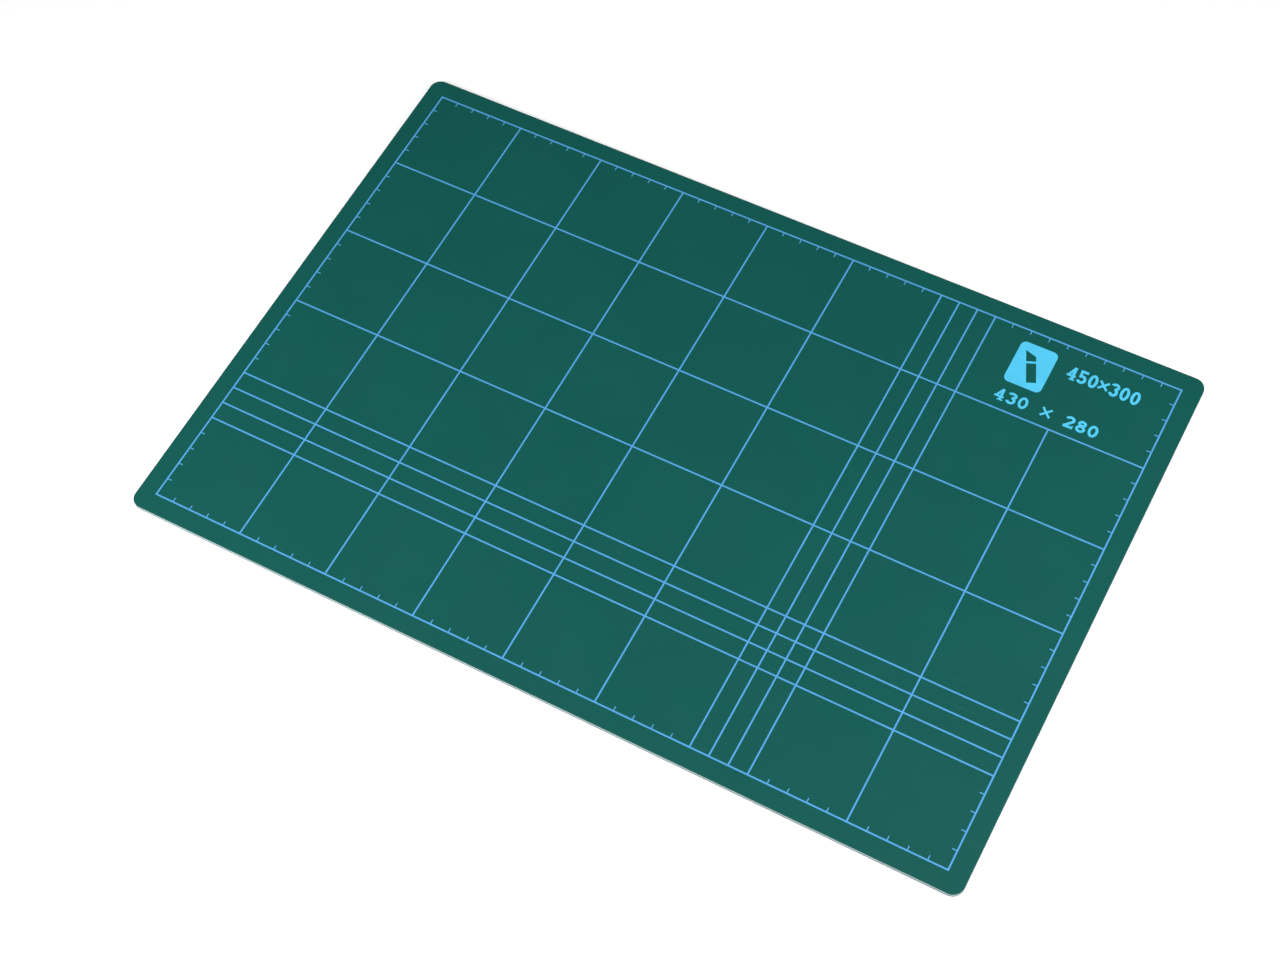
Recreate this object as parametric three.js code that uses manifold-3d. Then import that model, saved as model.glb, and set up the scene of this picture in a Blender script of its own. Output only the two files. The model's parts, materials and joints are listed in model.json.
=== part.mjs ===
// Self-healing cutting mat of A3 class: a flat sheet of three fused PVC plies with a ruled print on top.
// Millimetres, +Z up. The origin is the centre of the underside, which rests on the table.
// +X runs along the long side, +Y along the short side, away from the user.
import * as THREE from 'three';
import { mergeVertices } from 'three/addons/utils/BufferGeometryUtils.js';
import Module from 'manifold-3d';

const wasm = await Module();
wasm.setup();

// The sheet and its plies. Ply and film heights are binary fractions,
// so plies that touch share one exact plane.
const SHEET = { length: 450, width: 300, cornerRadius: 6 };
const PLY = { back: 1, core: 1.625, top: 0.375 };
const SHEET_THICKNESS = PLY.back + PLY.core + PLY.top;

// The ruled field, centred on the sheet. Large squares are split by one band of narrow strips each way.
const MARGIN = 10;
const FIELD = { length: SHEET.length - 2 * MARGIN, width: SHEET.width - 2 * MARGIN };
const SQUARE = 50;
const STRIP = 10;
const STRIPS_PER_BAND = 3;
const SQUARES_LEFT_OF_BAND = 6;
const SQUARES_BELOW_BAND = 1;

// The screen-printed ink film.
const INK = { film: 0.0625, line: 0.8125, tick: 0.5, tickReach: 2.5 };

// Cutters run past both faces of the film. The ticks' cutters run further, so no two cutters share a plane.
const PANE_CUTTER = { underside: -1, upside: 1 };
const TICK_CUTTER = { underside: -2, upside: 2 };

// The legend in the panel at the field's far right corner: a knife tile and two lines of numerals.
const PANEL = { length: 2 * SQUARE, width: SQUARE };
const TILE = { length: 20, width: 26, cornerRadius: 3, left: 18, base: 17 };
const KNIFE = { tilt: 0.4, halfWidth: 2.5, tail: -9.5, shoulder: 2, bladeRoot: 3.2, bladeBend: 6, tip: 10 };
const SHEET_SIZE_LINE = { name: 'sheet_size', text: '450x300', left: 45.5, base: 31.5 };
const SHEET_SIZE_NUMERAL = { width: 4.7, height: 8, stroke: 1.5, pitch: 5.6 };
const FIELD_SIZE_LINE = { name: 'field_size', text: '430 x 280', left: 18, base: 5 };
const FIELD_SIZE_NUMERAL = { width: 5, height: 7, stroke: 1.4, pitch: 6.2 };

// How finely curves are cut into straight facets.
const CORNER_SEGMENTS = 12;
const GLYPH_SEGMENTS = 14;

const COLOR = { top: 0x1a5d57, core: 0xb5ccce, back: 0x8f9ba0, lineInk: 0x55a1d0, legendInk: 0x54cbfa };
const ROUGHNESS = { pvc: 0.62, ink: 0.45 };

// ---------- outlines, extrusions and joins ----------

function roundedRectangle(length, width, radius) {
  const x = length / 2 - radius;
  const y = width / 2 - radius;
  const outline = new THREE.Shape();
  outline.absarc(x, -y, radius, -Math.PI / 2, 0);
  outline.absarc(x, y, radius, 0, Math.PI / 2);
  outline.absarc(-x, y, radius, Math.PI / 2, Math.PI);
  outline.absarc(-x, -y, radius, Math.PI, 1.5 * Math.PI);
  return outline;
}

function extrude(outline, height, curveSegments) {
  return new THREE.ExtrudeGeometry(outline, { depth: height, bevelEnabled: false, curveSegments });
}

/** A box over a rectangle in plan, given as [left, base, right, top], between two heights. */
function block([left, base, right, top], { underside, upside }) {
  const geometry = new THREE.BoxGeometry(right - left, top - base, upside - underside);
  geometry.translate((left + right) / 2, (base + top) / 2, (underside + upside) / 2);
  return geometry;
}

function toSolid(geometry) {
  const bare = geometry.clone();
  bare.deleteAttribute('normal');
  bare.deleteAttribute('uv');
  const merged = mergeVertices(bare);
  const vertProperties = merged.attributes.position.array;
  const triVerts = Uint32Array.from(merged.index.array);
  return new wasm.Manifold(new wasm.Mesh({ numProp: 3, vertProperties, triVerts }));
}

function toGeometry(solid) {
  const { vertProperties, triVerts } = solid.getMesh();
  const geometry = new THREE.BufferGeometry();
  geometry.setAttribute('position', new THREE.BufferAttribute(vertProperties, 3));
  geometry.setIndex(new THREE.BufferAttribute(triVerts, 1));
  geometry.computeVertexNormals();
  return geometry;
}

function unite(geometries) {
  return geometries.map(toSolid).reduce((joined, solid) => joined.add(solid));
}

// ---------- ink strokes, each one film high with its underside at z = 0 ----------

/** A straight stroke from one point to another, with square ends. */
function bar(fromX, fromY, toX, toY, breadth) {
  const from = new THREE.Vector2(fromX, fromY);
  const to = new THREE.Vector2(toX, toY);
  const along = to.clone().sub(from).normalize();
  const aside = new THREE.Vector2(-along.y, along.x).multiplyScalar(breadth / 2);
  const outline = new THREE.Shape([
    from.clone().sub(aside),
    to.clone().sub(aside),
    to.clone().add(aside),
    from.clone().add(aside),
  ]);
  return extrude(outline, INK.film, 1);
}

/** A full elliptical ring whose outer radii are given. */
function ring(centreX, centreY, radiusX, radiusY, breadth) {
  const outline = new THREE.Shape();
  outline.absellipse(centreX, centreY, radiusX, radiusY, 0, 2 * Math.PI);
  const hole = new THREE.Path();
  hole.absellipse(centreX, centreY, radiusX - breadth, radiusY - breadth, 0, 2 * Math.PI);
  outline.holes.push(hole);
  return extrude(outline, INK.film, GLYPH_SEGMENTS);
}

/** Part of such a ring, from one angle anticlockwise to another, in half turns. */
function bow(centreX, centreY, radiusX, radiusY, breadth, fromHalfTurn, toHalfTurn) {
  const from = fromHalfTurn * Math.PI;
  const to = toHalfTurn * Math.PI;
  const outline = new THREE.Shape();
  outline.absellipse(centreX, centreY, radiusX, radiusY, from, to, false);
  outline.absellipse(centreX, centreY, radiusX - breadth, radiusY - breadth, to, from, true);
  return extrude(outline, INK.film, GLYPH_SEGMENTS);
}

// ---------- numerals with slab feet, drawn in a cell w wide and h high with strokes s broad ----------

const GLYPHS = {
  0: (w, h, s) => [ring(w / 2, h / 2, w / 2, h / 2, s)],
  2: (w, h, s) => [
    bow(w / 2, 0.7 * h, w / 2, 0.3 * h, s, -0.25, 0.95),
    bar(0.76 * w, 0.57 * h, 0.12 * w, s / 2, s),
    bar(0, s / 2, w, s / 2, s),
    bar(w - s / 4, 0, w - s / 4, 0.28 * h, s / 2),
  ],
  3: (w, h, s) => [
    bow(w / 2, 0.73 * h, w / 2, 0.27 * h, s, -0.5, 0.9),
    bow(w / 2, 0.32 * h, w / 2, 0.32 * h, s, -0.9, 0.5),
  ],
  4: (w, h, s) => [
    bar(0.7 * w, 0, 0.7 * w, h, s),
    bar(0, 0.32 * h, w, 0.32 * h, 0.8 * s),
    bar(0.2 * w, 0.32 * h, 0.66 * w, 0.95 * h, 0.8 * s),
    bar(0.4 * w, s / 4, w, s / 4, s / 2),
  ],
  5: (w, h, s) => [
    bow(0.46 * w, 0.33 * h, 0.54 * w, 0.33 * h, s, -0.85, 0.72),
    bar(0.08 * w + s / 2, 0.43 * h, 0.08 * w + s / 2, h, 0.8 * s),
    bar(0.08 * w, h - s / 2, 0.94 * w, h - s / 2, s),
  ],
  8: (w, h, s) => [
    ring(w / 2, 0.74 * h, 0.45 * w, 0.26 * h, s),
    ring(w / 2, 0.3 * h, w / 2, 0.3 * h, s),
  ],
  x: (w, h, s) => [
    bar(0, 0.5 * h - w / 2, w, 0.5 * h + w / 2, 0.8 * s),
    bar(0, 0.5 * h + w / 2, w, 0.5 * h - w / 2, 0.8 * s),
  ],
};

// ---------- sub-parts ----------

function pvc(color) {
  return new THREE.MeshStandardMaterial({ color, roughness: ROUGHNESS.pvc });
}

function ink(color) {
  return new THREE.MeshStandardMaterial({ color, roughness: ROUGHNESS.ink });
}

function namedMesh(name, geometry, material) {
  const mesh = new THREE.Mesh(geometry, material);
  mesh.name = name;
  return mesh;
}

function ply(name, height, underside, material) {
  const outline = roundedRectangle(SHEET.length, SHEET.width, SHEET.cornerRadius);
  const mesh = namedMesh(name, extrude(outline, height, CORNER_SEGMENTS), material);
  mesh.position.z = underside;
  return mesh;
}

/** Places of the inner lines across one side of the field: squares, one band of strips, squares again. */
function rulings(span, squaresBeforeBand) {
  const bandStart = squaresBeforeBand * SQUARE;
  const bandEnd = bandStart + STRIPS_PER_BAND * STRIP;
  const places = [];
  for (let at = SQUARE; at <= bandStart; at += SQUARE) places.push(at);
  for (let at = bandStart + STRIP; at <= bandEnd; at += STRIP) places.push(at);
  for (let at = bandEnd + SQUARE; at < span; at += SQUARE) places.push(at);
  return places;
}

/** A rectangle in plan with every side moved outwards. */
function grown([left, base, right, top], by) {
  return [left - by, base - by, right + by, top + by];
}

/** The bare panes between the lines, as [left, base, right, top] at line centres. The legend panel is one. */
function panes() {
  const columns = [0, ...rulings(FIELD.length, SQUARES_LEFT_OF_BAND), FIELD.length];
  const rows = [0, ...rulings(FIELD.width, SQUARES_BELOW_BAND), FIELD.width];
  const panelLeft = FIELD.length - PANEL.length;
  const panelBase = FIELD.width - PANEL.width;
  const found = [[panelLeft, panelBase, FIELD.length, FIELD.width]];
  columns.slice(1).forEach((right, column) => {
    rows.slice(1).forEach((top, row) => {
      const left = columns[column];
      const base = rows[row];
      const inPanel = left >= panelLeft && base >= panelBase;
      if (!inPanel) found.push([left, base, right, top]);
    });
  });
  return found;
}

/** Places of the short ticks along the inside of all four sides, as [left, base, right, top]. */
function ticks() {
  const { length, width } = FIELD;
  const reach = INK.tickReach;
  const half = INK.tick / 2;
  const found = [];
  for (let x = STRIP; x < length; x += STRIP) {
    found.push([x - half, 0, x + half, reach]);
    found.push([x - half, width - reach, x + half, width]);
  }
  for (let y = STRIP; y < width; y += STRIP) {
    found.push([0, y - half, reach, y + half]);
    found.push([length - reach, y - half, length, y + half]);
  }
  return found;
}

/** The frame, lines and ticks: one film of ink, cut from a full plate by the panes less their ticks. */
function printedGrid() {
  const frame = grown([0, 0, FIELD.length, FIELD.width], INK.line / 2);
  const plate = toSolid(block(frame, { underside: 0, upside: INK.film }));
  const bare = unite(panes().map((pane) => block(grown(pane, -INK.line / 2), PANE_CUTTER)));
  const inked = unite(ticks().map((tick) => block(tick, TICK_CUTTER)));
  return namedMesh('printed_grid', toGeometry(plate.subtract(bare.subtract(inked))), ink(COLOR.lineInk));
}

/** A solid tile of ink with the handle and the blade of a craft knife left bare in it. */
function legendTile() {
  const { tilt, halfWidth, tail, shoulder, bladeRoot, bladeBend, tip } = KNIFE;
  const middle = new THREE.Vector2();
  const bareStrip = (start, rightEnd, leftEnd) => {
    const corners = [[-halfWidth, start], [halfWidth, start], [halfWidth, rightEnd], [-halfWidth, leftEnd]];
    return new THREE.Path(corners.map(([x, y]) => new THREE.Vector2(x, y).rotateAround(middle, tilt)));
  };
  const tile = roundedRectangle(TILE.length, TILE.width, TILE.cornerRadius);
  tile.holes.push(bareStrip(tail, shoulder, shoulder), bareStrip(bladeRoot, bladeBend, tip));
  const mesh = namedMesh('legend_tile', extrude(tile, INK.film, CORNER_SEGMENTS), ink(COLOR.legendInk));
  mesh.position.set(TILE.left + TILE.length / 2, TILE.base + TILE.width / 2, 0);
  return mesh;
}

/** One line of the legend. Each numeral is an island of ink, so each is a node of its own. */
function legendLine({ name, text, left, base }, { width, height, stroke, pitch }) {
  const line = new THREE.Group();
  line.position.set(left, base, 0);
  [...text].forEach((character, place) => {
    if (character === ' ') return;
    const strokes = unite(GLYPHS[character](width, height, stroke));
    const numeral = namedMesh(`${name}_numeral_${place + 1}`, toGeometry(strokes), ink(COLOR.legendInk));
    numeral.position.x = place * pitch;
    line.add(numeral);
  });
  return line;
}

/** Everything printed, in the field's own coordinates: its near left corner is their origin. */
function print() {
  const legend = new THREE.Group();
  legend.position.set(FIELD.length - PANEL.length, FIELD.width - PANEL.width, 0);
  legend.add(
    legendTile(),
    legendLine(SHEET_SIZE_LINE, SHEET_SIZE_NUMERAL),
    legendLine(FIELD_SIZE_LINE, FIELD_SIZE_NUMERAL),
  );
  const group = new THREE.Group();
  group.position.set(-FIELD.length / 2, -FIELD.width / 2, SHEET_THICKNESS);
  group.add(printedGrid(), legend);
  return group;
}

const mat = new THREE.Group();
mat.add(
  ply('back_skin', PLY.back, 0, pvc(COLOR.back)),
  ply('core_sheet', PLY.core, PLY.back, pvc(COLOR.core)),
  ply('top_skin', PLY.top, PLY.back + PLY.core, pvc(COLOR.top)),
  print(),
);

export default mat;
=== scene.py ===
"""Self-healing cutting mat: the finished look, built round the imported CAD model.

Lengths are in metres, in the CAD model's frame: the origin is the centre of the underside,
+X runs along the long side and +Z points up. Lengths given in millimetres are multiplied by MM.
"""

import json
import math

import bpy
from mathutils import Matrix, Vector, noise


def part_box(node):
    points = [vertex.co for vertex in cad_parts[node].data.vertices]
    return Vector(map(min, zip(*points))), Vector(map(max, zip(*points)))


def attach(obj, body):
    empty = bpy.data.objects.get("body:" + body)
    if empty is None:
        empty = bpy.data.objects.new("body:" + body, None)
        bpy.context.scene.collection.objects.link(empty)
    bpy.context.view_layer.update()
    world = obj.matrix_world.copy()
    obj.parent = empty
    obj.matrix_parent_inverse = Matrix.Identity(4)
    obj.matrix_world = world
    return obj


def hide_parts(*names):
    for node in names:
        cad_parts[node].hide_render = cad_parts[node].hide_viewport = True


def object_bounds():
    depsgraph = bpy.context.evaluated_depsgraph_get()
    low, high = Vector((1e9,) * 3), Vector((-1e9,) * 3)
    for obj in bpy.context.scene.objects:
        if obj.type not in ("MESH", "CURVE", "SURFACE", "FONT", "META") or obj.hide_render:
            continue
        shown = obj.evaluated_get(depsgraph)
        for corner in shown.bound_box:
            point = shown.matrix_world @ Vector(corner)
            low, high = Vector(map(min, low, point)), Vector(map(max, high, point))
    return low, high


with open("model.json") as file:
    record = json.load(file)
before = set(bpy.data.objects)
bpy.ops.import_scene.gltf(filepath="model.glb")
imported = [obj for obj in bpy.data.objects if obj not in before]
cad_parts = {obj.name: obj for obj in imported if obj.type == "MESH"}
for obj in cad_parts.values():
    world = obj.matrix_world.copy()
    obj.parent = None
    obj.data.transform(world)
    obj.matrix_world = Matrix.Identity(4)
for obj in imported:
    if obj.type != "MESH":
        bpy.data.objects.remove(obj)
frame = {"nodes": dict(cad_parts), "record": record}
cad_low, cad_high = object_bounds()

MM = 0.001
BODY = "root"

# The die-cut outline, which the plies share.
CORNER_RADIUS = 6 * MM
CORNER_STEPS = 24
EDGE_STEP = 1.2 * MM

# How far each ply's cut edge may stray inwards from the outline, along fine drag lines and broader waves.
STRAY = {"back_skin": 0.03 * MM, "core_sheet": 0.07 * MM, "top_skin": 0.02 * MM}
DRAG_LINE = {"width": 1.7 * MM, "share": 0.3}
WAVE = {"width": 9 * MM, "share": 0.2}

# The edge profiles, from the bottom ply to the top one. Edges that turn less than SMOOTH_BELOW look round.
TABLE_EDGE_RADIUS = 0.22 * MM
JOINT_NICK = 0.06 * MM
CORE_HOLLOW = 0.08 * MM
ROLLED_EDGE = {"inset": 0.36 * MM, "rise": 0.24 * MM}
FLAT_FROM = 1.2 * MM
PROFILE_STEPS = 7
SMOOTH_BELOW = math.radians(50)

# Noise runs from 0 to 1, and nearly all of it falls in this span.
NOISE_SPAN = (0.3, 0.7)
NOISE_ROUGHNESS = 0.6

# Each set of healed cuts: which way its hairlines run, and how long and how wide they are.
# Only the crests of the noise are cuts, and only where the mat has been worked on.
# CUT_TINT is how strongly they show.
CUT_SETS = (
    {"turn": 0.35, "length": 45 * MM, "width": 0.7 * MM},
    {"turn": 1.9, "length": 60 * MM, "width": 0.8 * MM},
    {"turn": 2.7, "length": 38 * MM, "width": 0.6 * MM},
)
CUT_CRESTS = (0.76, 0.82)
WORKED_CRESTS = (0.48, 0.62)
CUT_TINT = 0.3

# Colours are linear RGB.
SKIN_GREEN = (0.0012, 0.0665, 0.056)
CORE_PALE = (0.36, 0.48, 0.49)
BACK_GREY = (0.18, 0.212, 0.228)
LINE_BLUE = (0.070, 0.302, 0.60)
LEGEND_BLUE = (0.066, 0.47, 0.71)
FLOOR_WHITE = (0.97, 0.97, 0.97)

# The camera looks at the mat from the near right, turned a little about its own axis.
# Its focal length is in millimetres, as Blender takes it.
CAMERA_TARGET = Vector((-2.4, -25.3, 3)) * MM
CAMERA_DISTANCE = 1088 * MM
CAMERA_AZIMUTH = math.radians(33.8)
CAMERA_ELEVATION = math.radians(60.2)
CAMERA_ROLL = math.radians(-6.4)
CAMERA_LENS = 62

# The studio floor, just clear of the underside.
FLOOR_SIZE = 40
FLOOR_DROP = 0.05 * MM

# The light: pale walls that fade into a dim ceiling, a broad overhead light and two softboxes.
# WALL_TOP is the height, on a sphere of radius 1, where the walls have faded.
WALL_BRIGHTNESS = 0.66
WALL_TOP = 0.3
CEILING_BRIGHTNESS = 0.22
OVERHEAD = {"toward": (0.2, -0.25, 0.95), "strength": 1.47, "angle": math.radians(40)}
SOFTBOX_SIZE = 0.35
SOFTBOXES = {
    "right_softbox": {"place": (0.53, 0, 0.46), "power": 2.45},
    "near_left_softbox": {"place": (-0.31, -0.41, 0.46), "power": 2.7},
}

# Input and output sockets of a colour mix node.
MIX_SHARE, MIX_FIRST, MIX_SECOND = 0, 6, 7
MIX_RESULT = 2


# ---------- shader helpers ----------


class Shader:
    """One material's node tree, with short calls that add nodes and link them."""

    def __init__(self, name, specular):
        self.material = bpy.data.materials.new(name)
        self.material.use_nodes = True
        self.tree = self.material.node_tree
        self.surface = self.tree.nodes["Principled BSDF"]
        self.surface.inputs["Specular IOR Level"].default_value = specular
        self.place = self.add("ShaderNodeTexCoord").outputs["Object"]

    def add(self, kind, inputs=None, **settings):
        node = self.tree.nodes.new(kind)
        for name, value in settings.items():
            setattr(node, name, value)
        for name, value in (inputs or {}).items():
            self.feed(node.inputs[name], value)
        return node

    def feed(self, socket, value):
        if isinstance(value, bpy.types.NodeSocket):
            self.tree.links.new(value, socket)
        else:
            socket.default_value = value

    def noise(self, size, detail, place=None):
        """Soft noise, about size across from one blotch to the next."""
        inputs = {
            "Vector": place or self.place,
            "Scale": 1 / size,
            "Detail": detail,
            "Roughness": NOISE_ROUGHNESS,
        }
        return self.add("ShaderNodeTexNoise", inputs).outputs["Fac"]

    def streaks(self, lengths, turn=0.0):
        """Noise drawn out to these lengths along x, y and z, once turned about z."""
        scale = [1 / length for length in lengths]
        inputs = {"Vector": self.place, "Rotation": (0, 0, turn), "Scale": scale}
        place = self.add("ShaderNodeMapping", inputs).outputs["Vector"]
        return self.noise(size=1, detail=1, place=place)

    def remap(self, value, span, to=(0, 1)):
        """The value stretched from one span of numbers to another, and held inside it."""
        low, high = span
        to_low, to_high = to
        inputs = {"Value": value, "From Min": low, "From Max": high, "To Min": to_low, "To Max": to_high}
        return self.add("ShaderNodeMapRange", inputs).outputs["Result"]

    def combine(self, operation, first, second):
        """The result of an operation such as MULTIPLY on two values."""
        return self.add("ShaderNodeMath", {0: first, 1: second}, operation=operation).outputs["Value"]

    def mix(self, share, first, second):
        """The first colour where the share is 0, and the second where it is 1."""
        inputs = {MIX_SHARE: share, MIX_FIRST: opaque(first), MIX_SECOND: opaque(second)}
        return self.add("ShaderNodeMix", inputs, data_type="RGBA").outputs[MIX_RESULT]

    def shades(self, share, color, darkest, palest):
        """A colour that runs from darkest to palest times its own brightness."""
        return self.mix(share, scaled(color, by=darkest), scaled(color, by=palest))

    def bump(self, height, depth, below=None):
        """A normal bent by the height, on top of the bump below it if there is one."""
        inputs = {"Height": height, "Distance": depth}
        if below:
            inputs["Normal"] = below
        return self.add("ShaderNodeBump", inputs).outputs["Normal"]

    def finish(self, color, roughness, normal):
        self.feed(self.surface.inputs["Base Color"], color)
        self.feed(self.surface.inputs["Roughness"], roughness)
        self.feed(self.surface.inputs["Normal"], normal)
        return self.material


def opaque(color):
    """An RGB colour with its alpha. A socket is passed through."""
    return color if isinstance(color, bpy.types.NodeSocket) else (*color, 1)


def scaled(color, by):
    return tuple(channel * by for channel in color)


def paler(color, by):
    """The colour taken this share of the way to white."""
    return tuple(channel + (1 - channel) * by for channel in color)


# ---------- materials ----------


def healed_cuts(shader):
    """Sparse hairlines where a blade has passed and the skin has closed again, from 0 to 1."""
    cuts = 0.0
    for cut in CUT_SETS:
        hairlines = shader.streaks((cut["length"], cut["width"], cut["width"]), cut["turn"])
        cuts = shader.combine("MAXIMUM", cuts, shader.remap(hairlines, CUT_CRESTS))
    worked_patches = shader.remap(shader.noise(size=70 * MM, detail=1), WORKED_CRESTS)
    return shader.combine("MULTIPLY", cuts, worked_patches)


def skin_material():
    """Soft green PVC: a fine moulded grain with a painted highlight on its raised crests, faint mottling
    and handling marks, and healed cuts.
    """
    shader = Shader("healing_skin", specular=0.15)
    mottle = shader.remap(shader.noise(size=60 * MM, detail=3), NOISE_SPAN)
    color = shader.shades(mottle, SKIN_GREEN, darkest=0.95, palest=1.05)
    grain = shader.noise(size=0.5 * MM, detail=2)
    # Painted highlight: the raised crests of the grain are painted paler than the green.
    grain_crest_highlight = shader.remap(grain, (0.35, 0.7), to=(0, 0.6))
    color = shader.mix(grain_crest_highlight, color, scaled(SKIN_GREEN, by=1.45))
    cuts = healed_cuts(shader)
    color = shader.mix(shader.combine("MULTIPLY", cuts, CUT_TINT), color, paler(SKIN_GREEN, by=0.06))
    handling = shader.remap(shader.noise(size=35 * MM, detail=4), NOISE_SPAN, to=(0.46, 0.57))
    grained = shader.bump(grain, depth=0.04 * MM)
    rippled = shader.bump(shader.noise(size=1.7 * MM, detail=1), depth=0.012 * MM, below=grained)
    scored = shader.bump(cuts, depth=-0.02 * MM, below=rippled)
    return shader.finish(color, handling, scored)


def core_material():
    """Pale rigid PVC cut through by the die: fine upright drag lines, and grime in places."""
    shader = Shader("core_board", specular=0.3)
    lines = shader.streaks((0.35 * MM, 0.35 * MM, 9 * MM))
    color = shader.shades(shader.remap(lines, NOISE_SPAN), CORE_PALE, darkest=0.9, palest=1.04)
    grime = shader.remap(shader.noise(size=14 * MM, detail=3), (0.45, 0.75), to=(0, 0.3))
    color = shader.mix(grime, color, scaled(CORE_PALE, by=0.75))
    roughness = shader.remap(lines, NOISE_SPAN, to=(0.48, 0.64))
    return shader.finish(color, roughness, shader.bump(lines, depth=0.04 * MM))


def back_material():
    """Grey PVC with a fine pebbled grain that keeps the mat from sliding, and painted shade in the dips
    between the pebbles.
    """
    shader = Shader("pebbled_back", specular=0.25)
    pebbles = shader.add("ShaderNodeTexVoronoi", {"Vector": shader.place, "Scale": 1 / (0.9 * MM)})
    dip = pebbles.outputs["Distance"]
    scuffs = shader.remap(shader.noise(size=25 * MM, detail=4), NOISE_SPAN)
    color = shader.shades(scuffs, BACK_GREY, darkest=0.9, palest=1.08)
    # Painted shade: the dips between the pebbles are painted darker.
    painted_shade_in_hollows = shader.remap(dip, (0.2, 0.8), to=(0, 0.4))
    color = shader.mix(painted_shade_in_hollows, color, scaled(BACK_GREY, by=0.75))
    roughness = shader.remap(scuffs, (0, 1), to=(0.58, 0.7))
    return shader.finish(color, roughness, shader.bump(dip, depth=-0.06 * MM))


def ink_material(name, blue):
    """Screen-printed ink: uneven cover, with the marks of the screen's weave."""
    shader = Shader(name, specular=0.3)
    cover = shader.remap(shader.noise(size=6 * MM, detail=4), NOISE_SPAN)
    color = shader.shades(cover, blue, darkest=0.94, palest=1.05)
    weave = shader.noise(size=0.3 * MM, detail=2)
    pinholes = shader.remap(weave, (0.6, 0.75), to=(0, 0.4))
    color = shader.mix(pinholes, color, scaled(blue, by=0.7))
    roughness = shader.remap(weave, NOISE_SPAN, to=(0.44, 0.58))
    return shader.finish(color, roughness, shader.bump(weave, depth=0.01 * MM))


def floor_material():
    """Matte white paper."""
    shader = Shader("studio_paper", specular=0.1)
    fibre = shader.remap(shader.noise(size=3 * MM, detail=3), NOISE_SPAN)
    color = shader.shades(fibre, FLOOR_WHITE, darkest=0.99, palest=1)
    roughness = shader.remap(fibre, (0, 1), to=(0.85, 0.95))
    return shader.finish(color, roughness, shader.bump(fibre, depth=0.004 * MM))


# ---------- plies ----------


def outline():
    """Points round the sheet's rounded rectangle with their outward normals, anticlockwise in plan."""
    reach_x = cad_high.x - CORNER_RADIUS
    reach_y = cad_high.y - CORNER_RADIUS
    arcs = []
    for corner, (side_x, side_y) in enumerate(((1, -1), (1, 1), (-1, 1), (-1, -1))):
        centre = Vector((side_x * reach_x, side_y * reach_y))
        angles = [math.pi / 2 * (corner - 1 + step / CORNER_STEPS) for step in range(CORNER_STEPS + 1)]
        normals = [Vector((math.cos(angle), math.sin(angle))) for angle in angles]
        arcs.append([(centre + CORNER_RADIUS * normal, normal) for normal in normals])
    places = []
    for arc, next_arc in zip(arcs, [*arcs[1:], arcs[0]]):
        start, normal = arc[-1]
        end = next_arc[0][0]
        steps = round((end - start).length / EDGE_STEP)
        places += arc
        places += [(start.lerp(end, step / steps), normal) for step in range(1, steps)]
    return places


def stray(point, height, most):
    """How far the cut edge stands in from the outline at a place, from 0 to most."""
    drag = noise.noise(Vector((*(point / DRAG_LINE["width"]), height / WAVE["width"])))
    wave = noise.noise(Vector((*(point / WAVE["width"]), 0)))
    middle = DRAG_LINE["share"] + WAVE["share"]
    return most * (middle + DRAG_LINE["share"] * drag + WAVE["share"] * wave)


def ply_mesh(name, profile, most_stray):
    """A sheet lofted round the outline. profile is its edge from the underside up, as (inset, height)."""
    places = outline()
    count = len(places)
    points = []
    for inset, height in profile:
        for point, normal in places:
            edge = point - normal * (inset + stray(point, height, most_stray))
            points.append((*edge, height))
    walls = [
        (ring + here, ring + after, ring + count + after, ring + count + here)
        for ring in range(0, len(points) - count, count)
        for here, after in zip(range(count), [*range(1, count), 0])
    ]
    underside = tuple(reversed(range(count)))
    upside = tuple(range(len(points) - count, len(points)))
    mesh = bpy.data.meshes.new(name)
    mesh.from_pydata(points, [], [*walls, underside, upside])
    mesh.polygons.foreach_set("use_smooth", [True] * len(walls) + [False, False])
    mesh.set_sharp_from_angle(angle=SMOOTH_BELOW)
    return mesh


def add_ply(name, node, material, profile):
    mesh = ply_mesh(name, profile, STRAY[node])
    mesh.materials.append(material)
    piece = bpy.data.objects.new(name, mesh)
    bpy.context.scene.collection.objects.link(piece)
    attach(piece, BODY)
    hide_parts(node)


def levels():
    """Even steps from 0 to 1, fine enough for any one curve of an edge profile."""
    return [step / PROFILE_STEPS for step in range(PROFILE_STEPS + 1)]


def quarter_turn():
    """(cos, sin) of the angles from 0 to a right angle, for an edge's rounding."""
    angles = [math.pi / 2 * level for level in levels()]
    return [(math.cos(angle), math.sin(angle)) for angle in angles]


def heights(node):
    low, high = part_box(node)
    return low.z, high.z


def add_back():
    """Eased where it meets the table, with a tiny nick where it meets the core."""
    low, high = heights("back_skin")
    radius = TABLE_EDGE_RADIUS
    profile = [(radius * (1 - sine), low + radius * (1 - cosine)) for cosine, sine in quarter_turn()]
    profile += [(0, high - JOINT_NICK), (JOINT_NICK, high)]
    add_ply("back_skin_sheet", "back_skin", back_material(), profile)


def add_core():
    """Slightly hollow between its two nicked edges."""
    low, high = heights("core_sheet")
    wall_low = low + JOINT_NICK
    wall_height = high - low - 2 * JOINT_NICK
    wall = [(CORE_HOLLOW * math.sin(math.pi * level), wall_low + wall_height * level) for level in levels()]
    profile = [(JOINT_NICK, low), *wall, (JOINT_NICK, high)]
    add_ply("core_board", "core_sheet", core_material(), profile)


def add_top():
    """Upright above its nick, then rolled over by the die, then flat."""
    low, high = heights("top_skin")
    inset, rise = ROLLED_EDGE["inset"], ROLLED_EDGE["rise"]
    profile = [(JOINT_NICK, low), (0, low + JOINT_NICK)]
    profile += [(inset * (1 - cosine), high - rise + rise * sine) for cosine, sine in quarter_turn()]
    profile.append((FLAT_FROM, high))
    add_ply("top_skin_sheet", "top_skin", skin_material(), profile)


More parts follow.
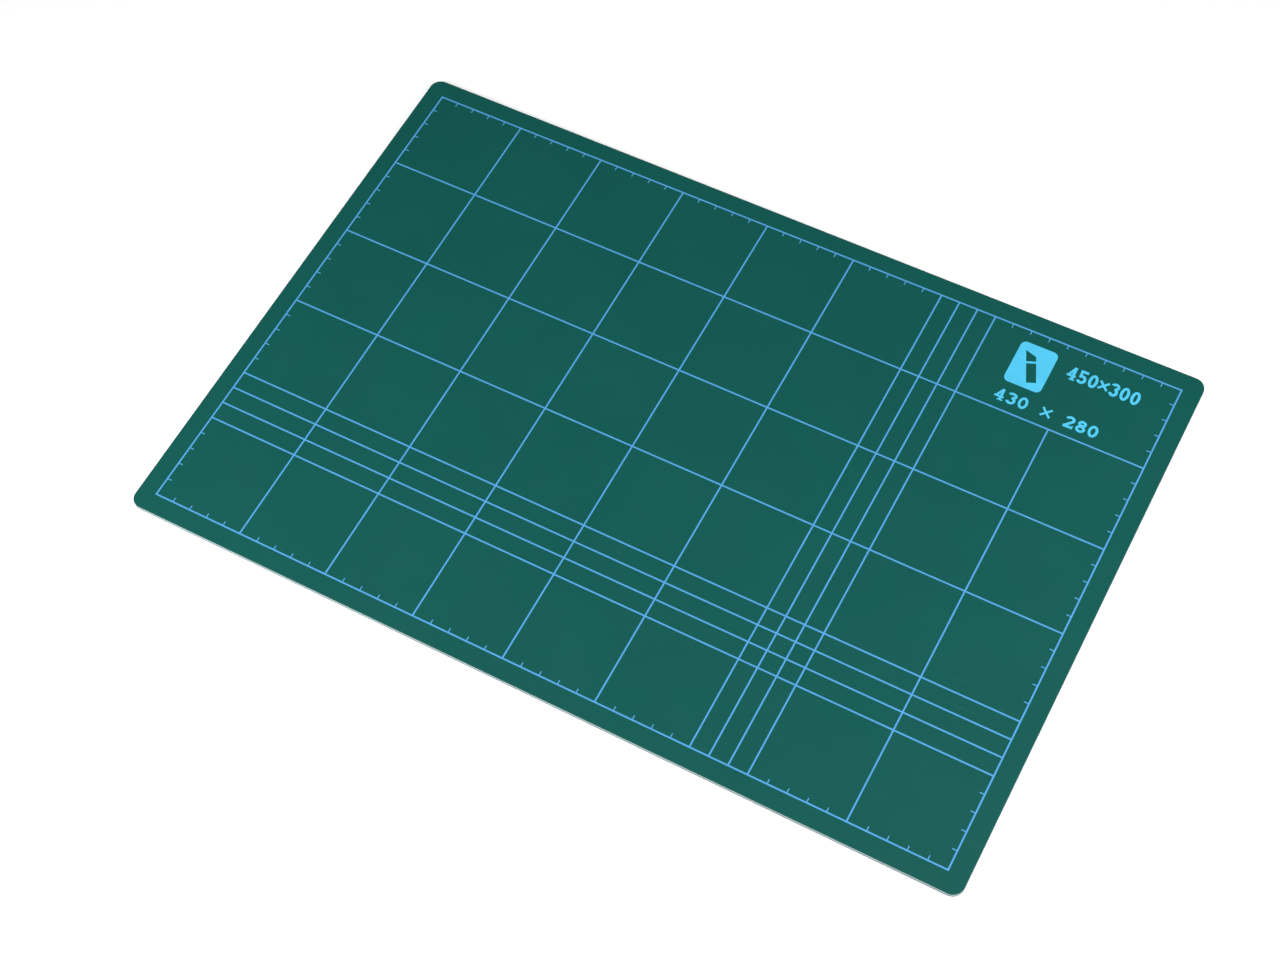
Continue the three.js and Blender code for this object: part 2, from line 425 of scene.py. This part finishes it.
def ink_print():
    """The printed nodes keep their CAD shape and get their inks."""
    inks = {
        "line_ink": ink_material("line_ink_film", LINE_BLUE),
        "legend_ink": ink_material("legend_ink_film", LEGEND_BLUE),
    }
    for subpart in frame["record"]["subparts"]:
        slot = subpart["material_slot"]
        if slot in inks:
            frame["nodes"][subpart["node"]].data.materials[0] = inks[slot]


# ---------- stage, lights and camera ----------


def add_floor():
    half = FLOOR_SIZE / 2
    corners = [(x * half, y * half, -FLOOR_DROP) for x, y in ((-1, -1), (1, -1), (1, 1), (-1, 1))]
    mesh = bpy.data.meshes.new("floor")
    mesh.from_pydata(corners, [], [(0, 1, 2, 3)])
    mesh.materials.append(floor_material())
    floor = bpy.data.objects.new("floor", mesh)
    bpy.context.scene.collection.objects.link(floor)


def add_lamp(name, kind, place, toward, **settings):
    """A lamp at a place. toward points from the mat to the lamp."""
    data = bpy.data.lights.new(name, kind)
    for key, value in settings.items():
        setattr(data, key, value)
    lamp = bpy.data.objects.new(name, data)
    lamp.location = place
    lamp.rotation_euler = Vector(toward).to_track_quat("Z", "Y").to_euler()
    bpy.context.scene.collection.objects.link(lamp)


def add_lights():
    toward = OVERHEAD["toward"]
    add_lamp("overhead", "SUN", toward, toward, energy=OVERHEAD["strength"], angle=OVERHEAD["angle"])
    for name, softbox in SOFTBOXES.items():
        place = softbox["place"]
        add_lamp(name, "AREA", place, place, shape="DISK", size=SOFTBOX_SIZE, energy=softbox["power"])


def add_world():
    """White light from all round, fading from the walls to the ceiling."""
    world = bpy.data.worlds.new("studio")
    world.use_nodes = True
    tree = world.node_tree
    direction = tree.nodes.new("ShaderNodeTexCoord").outputs["Generated"]
    split = tree.nodes.new("ShaderNodeSeparateXYZ")
    fade = tree.nodes.new("ShaderNodeMapRange")
    fade.inputs["From Max"].default_value = WALL_TOP
    fade.inputs["To Min"].default_value = WALL_BRIGHTNESS
    fade.inputs["To Max"].default_value = CEILING_BRIGHTNESS
    background = tree.nodes["Background"]
    background.inputs["Color"].default_value = (1, 1, 1, 1)
    tree.links.new(direction, split.inputs["Vector"])
    tree.links.new(split.outputs["Z"], fade.inputs["Value"])
    tree.links.new(fade.outputs["Result"], background.inputs["Strength"])
    bpy.context.scene.world = world


def add_camera():
    level = math.cos(CAMERA_ELEVATION)
    back = Vector(
        (math.sin(CAMERA_AZIMUTH) * level, -math.cos(CAMERA_AZIMUTH) * level, math.sin(CAMERA_ELEVATION))
    )
    data = bpy.data.cameras.new("camera")
    data.lens = CAMERA_LENS
    camera = bpy.data.objects.new("camera", data)
    place = Matrix.Translation(CAMERA_TARGET + back * CAMERA_DISTANCE)
    aim = back.to_track_quat("Z", "Y").to_matrix().to_4x4()
    camera.matrix_world = place @ aim @ Matrix.Rotation(CAMERA_ROLL, 4, "Z")
    bpy.context.scene.collection.objects.link(camera)
    bpy.context.scene.camera = camera


add_back()
add_core()
add_top()
ink_print()
add_floor()
add_world()
add_lights()
add_camera()
bpy.context.scene.view_settings.view_transform = "Standard"
